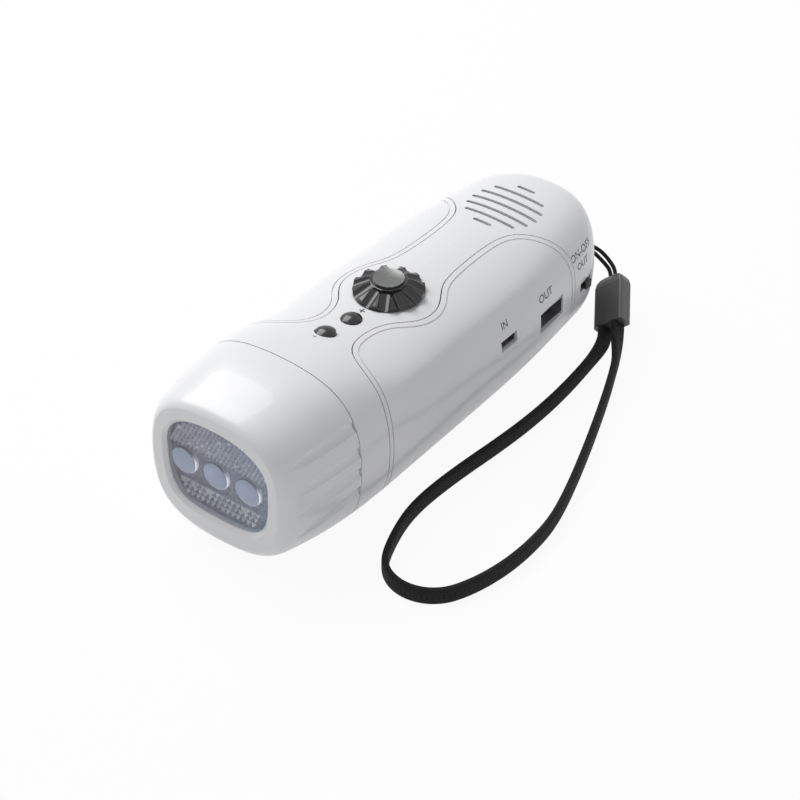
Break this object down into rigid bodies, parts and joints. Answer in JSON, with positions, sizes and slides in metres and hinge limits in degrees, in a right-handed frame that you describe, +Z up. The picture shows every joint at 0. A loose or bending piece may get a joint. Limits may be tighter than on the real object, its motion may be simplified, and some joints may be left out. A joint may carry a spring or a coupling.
{
  "type": "hand crank flashlight",
  "caption": "White hand crank flashlight with a square clear lens, tuning knob, speaker grille, charging sockets, slide switch, side crank with folding handle, and a wrist strap.",
  "frame": {"origin": "middle of the flat keel that the torch rests on", "axes": "+Y from the lens to the tail, +Z up out of the keel, +X to the side with the sockets; the crank is on the -X side"},
  "size_m": [0.1162, 0.1853, 0.0583],
  "materials": {
    "white_shell": "gloss",
    "clear_lens": "gloss",
    "seal_rubber": "matte",
    "bright_reflector": "mirror",
    "lamp_resin": "gloss",
    "board_green": "matte",
    "black_gloss": "gloss",
    "cap_grey": "satin",
    "steel": "satin",
    "brass": "satin",
    "black_plastic": "matte",
    "grey_plastic": "matte",
    "nylon_white": "satin",
    "cone_paper": "matte",
    "speaker_cloth": "matte",
    "cell_wrap": "gloss",
    "dark_grey": "satin",
    "webbing": "matte"
  },
  "bodies": {
    "casing": {"bezel": "white_shell", "lens": "clear_lens", "lens_gasket": "seal_rubber", "reflector": "bright_reflector", "led_left": "lamp_resin", "led_centre": "lamp_resin", "led_right": "lamp_resin", "led_board": "board_green", "upper_shell": "white_shell", "side_panel_right": "white_shell", "side_panel_left": "white_shell", "lower_shell": "white_shell", "shell_screws": "steel", "pot_body": "steel", "tact_switches": "black_plastic", "control_board": "board_green", "board_chips": "black_plastic", "speaker_frame": "steel", "speaker_cone": "cone_paper", "speaker_magnet": "steel", "speaker_cloth": "speaker_cloth", "power_board": "board_green", "usb_a_socket": "steel", "usb_a_tongue": "black_plastic", "micro_usb_socket": "steel", "micro_usb_tongue": "black_plastic", "slide_switch_body": "black_plastic", "gear_pin": "steel", "dynamo_can": "steel", "gearbox_base": "grey_plastic", "gearbox_cover": "grey_plastic", "gearbox_screws": "steel", "shaft_bush": "brass", "battery_cell": "cell_wrap", "battery_holder": "black_plastic", "strap_anchor_pin": "steel", "strap_ferrule": "dark_grey", "strap_cord": "webbing", "strap_loop": "webbing"},
    "knob": {"tuning_knob": "black_gloss", "knob_cap": "cap_grey", "pot_shaft": "steel"},
    "minus_button": {"button_minus": "black_gloss"},
    "plus_button": {"button_plus": "black_gloss"},
    "switch": {"switch_slider": "black_plastic"},
    "crank": {"crank_shaft": "steel", "drive_gear": "nylon_white", "crank_arm": "white_shell", "crank_screw": "steel", "hub_cap": "cap_grey", "handle_hinge_pin": "steel"},
    "compound": {"compound_gear": "nylon_white"},
    "dynamo_rotor": {"dynamo_pinion": "brass", "dynamo_shaft": "steel"},
    "handle": {"handle_yoke": "black_plastic", "handle_spindle": "steel"},
    "grip": {"handle_grip": "black_gloss"}
  },
  "joints": [
    {"name": "knob_turn", "type": "hinge", "parent": "casing", "child": "knob", "pos_m": [0, -0.0049, 0.0535], "axis": [0, 0, 1], "range_deg": [-150, 150]},
    {"name": "button_minus_press", "type": "slide", "parent": "casing", "child": "minus_button", "axis": [0, 0, -1], "range_m": [0, 0.0008], "stiffness_N_per_m": 400},
    {"name": "button_plus_press", "type": "slide", "parent": "casing", "child": "plus_button", "axis": [0, 0, -1], "range_m": [0, 0.0008], "stiffness_N_per_m": 400},
    {"name": "switch_slide", "type": "slide", "parent": "casing", "child": "switch", "axis": [0, 1, 0], "range_m": [-0.002, 0.002]},
    {"name": "crank_turn", "type": "hinge", "parent": "casing", "child": "crank", "pos_m": [-0.02, -0.0068, 0.0215], "axis": [1, 0, 0], "continuous": true},
    {"name": "compound_turn", "type": "hinge", "parent": "casing", "child": "compound", "pos_m": [-0.02, -0.02392, 0.02706], "axis": [1, 0, 0], "continuous": true},
    {"name": "dynamo_turn", "type": "hinge", "parent": "casing", "child": "dynamo_rotor", "pos_m": [-0.02, -0.03795, 0.01896], "axis": [1, 0, 0], "continuous": true},
    {"name": "handle_fold", "type": "hinge", "parent": "crank", "child": "handle", "pos_m": [-0.03522, 0.0382, 0.0215], "axis": [0, 0, -1], "range_deg": [0, 90]},
    {"name": "grip_spin", "type": "hinge", "parent": "handle", "child": "grip", "pos_m": [-0.03522, 0.0242, 0.0215], "axis": [0, 1, 0], "continuous": true}
  ],
  "couplings": [
    {"joint": "compound_turn", "follows": "crank_turn", "ratio": -4},
    {"joint": "dynamo_turn", "follows": "crank_turn", "ratio": 14}
  ]
}
